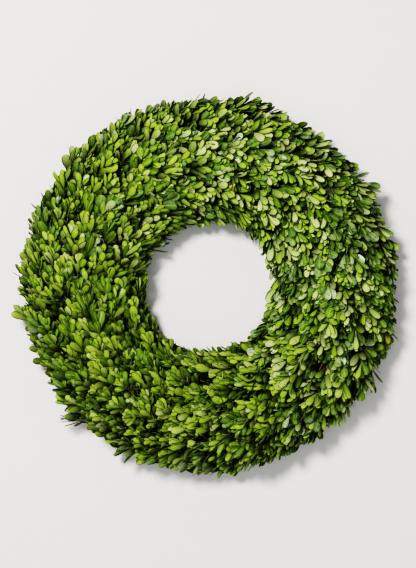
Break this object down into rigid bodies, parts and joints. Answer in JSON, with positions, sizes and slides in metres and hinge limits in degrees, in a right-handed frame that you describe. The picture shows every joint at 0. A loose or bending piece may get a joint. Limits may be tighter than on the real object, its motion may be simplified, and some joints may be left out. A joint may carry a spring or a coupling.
{
  "type": "boxwood wreath",
  "caption": "Round door wreath of overlapping leafy boxwood bunches, tips all pointing clockwise, wired onto a hidden welded wire ring frame with an open middle.",
  "frame": {"origin": "on the surface that the frame's crossbars rest on, at the middle of the wreath's hole", "axes": "+Z out of the leafy front, +Y towards the wreath's top when it hangs, +X to the right seen from the front"},
  "size_m": [0.497, 0.5016, 0.0994],
  "materials": {
    "boxwood_leaf": "satin",
    "frame_wire": "satin",
    "binding_wire": "satin"
  },
  "bodies": {
    "root": {"wire_frame": "frame_wire", "binding_wire": "binding_wire", "bunch_01": "boxwood_leaf", "bunch_02": "boxwood_leaf", "bunch_03": "boxwood_leaf", "bunch_04": "boxwood_leaf", "bunch_05": "boxwood_leaf", "bunch_06": "boxwood_leaf", "bunch_07": "boxwood_leaf", "bunch_08": "boxwood_leaf", "bunch_09": "boxwood_leaf", "bunch_10": "boxwood_leaf", "bunch_11": "boxwood_leaf", "bunch_12": "boxwood_leaf", "bunch_13": "boxwood_leaf", "bunch_14": "boxwood_leaf", "bunch_15": "boxwood_leaf", "bunch_16": "boxwood_leaf", "bunch_17": "boxwood_leaf", "bunch_18": "boxwood_leaf", "bunch_19": "boxwood_leaf", "bunch_20": "boxwood_leaf", "bunch_21": "boxwood_leaf", "bunch_22": "boxwood_leaf", "bunch_23": "boxwood_leaf", "bunch_24": "boxwood_leaf"}
  },
  "joints": []
}
